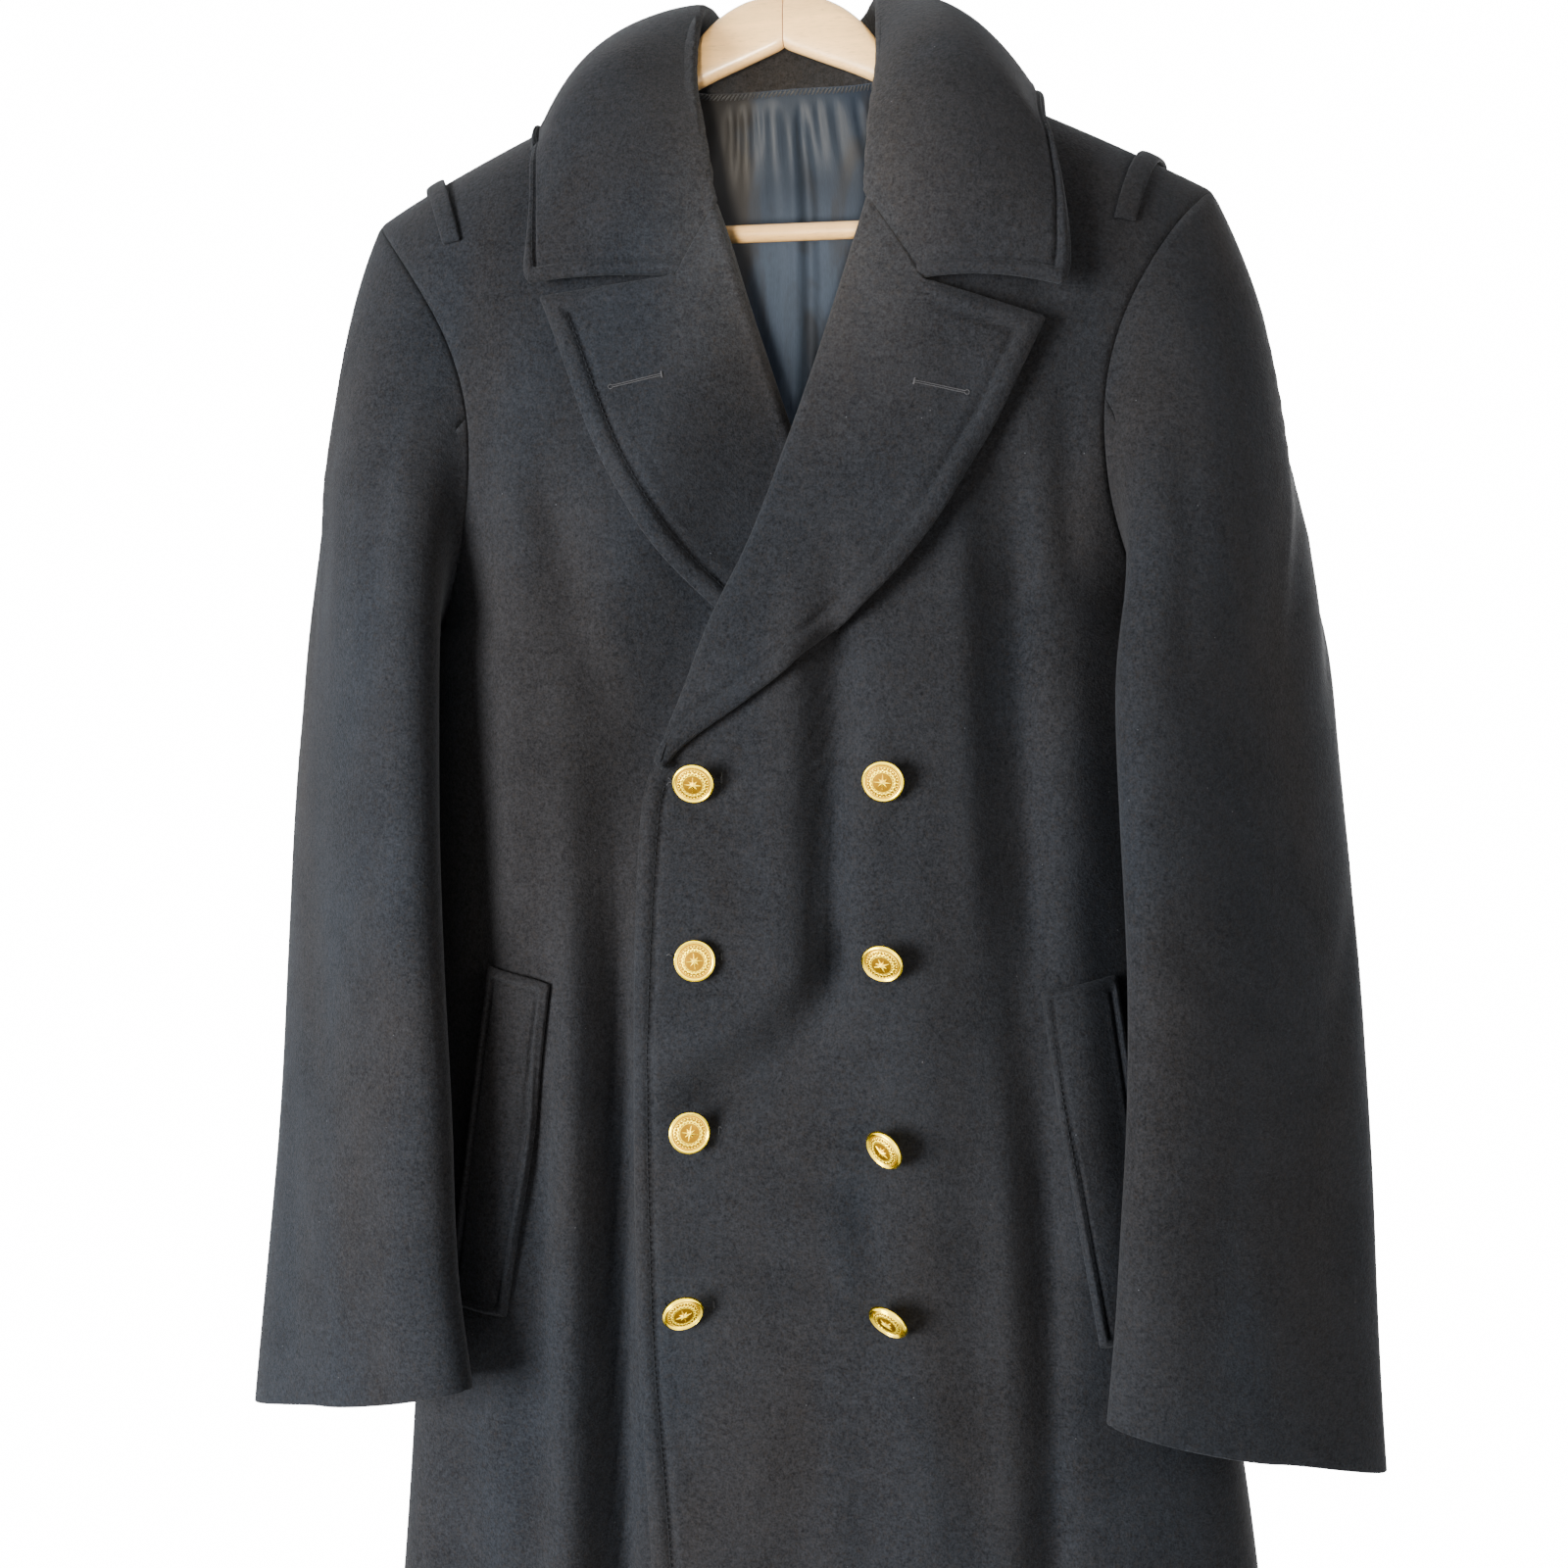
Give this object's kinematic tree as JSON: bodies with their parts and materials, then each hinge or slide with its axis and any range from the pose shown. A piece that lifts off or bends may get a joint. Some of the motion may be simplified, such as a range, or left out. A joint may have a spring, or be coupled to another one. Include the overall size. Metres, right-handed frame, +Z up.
{
  "type": "double-breasted bridge coat on a wooden coat hanger",
  "caption": "Dark navy wool double-breasted bridge coat with gilt buttons, wide collar and peaked lapels, hanging on a wooden coat hanger.",
  "frame": {"origin": "under the top of the hanger's hook, where it rests on its rail, on the hanger's middle plane", "axes": "+X to the wearer's left, +Y to the coat's back, +Z up; the coat's front faces -Y"},
  "size_m": [0.6357, 0.2022, 1.2486],
  "materials": {
    "melton": "thick fulled wool, matt with a short nap",
    "lining": "smooth satin",
    "gilt": "gilt, polished",
    "wood": "varnished beech",
    "steel": "bright plated steel"
  },
  "bodies": {
    "root": {"front_left": "melton", "front_right": "melton", "back_left": "melton", "back_right": "melton", "sleeve_left_upper": "melton", "sleeve_left_under": "melton", "sleeve_right_upper": "melton", "sleeve_right_under": "melton", "lapel_left": "melton", "lapel_right": "melton", "collar": "melton", "welt_left": "melton", "welt_right": "melton", "shoulder_loop_left": "melton", "shoulder_loop_right": "melton", "lining_back": "lining", "button_left_1": "gilt", "button_left_2": "gilt", "button_left_3": "gilt", "button_left_4": "gilt", "button_right_1": "gilt", "button_right_2": "gilt", "button_right_3": "gilt", "button_right_4": "gilt", "hanger_arm_left": "wood", "hanger_arm_right": "wood", "hanger_bar": "wood", "hanger_ferrule": "steel", "hanger_hook": "steel"}
  },
  "joints": []
}
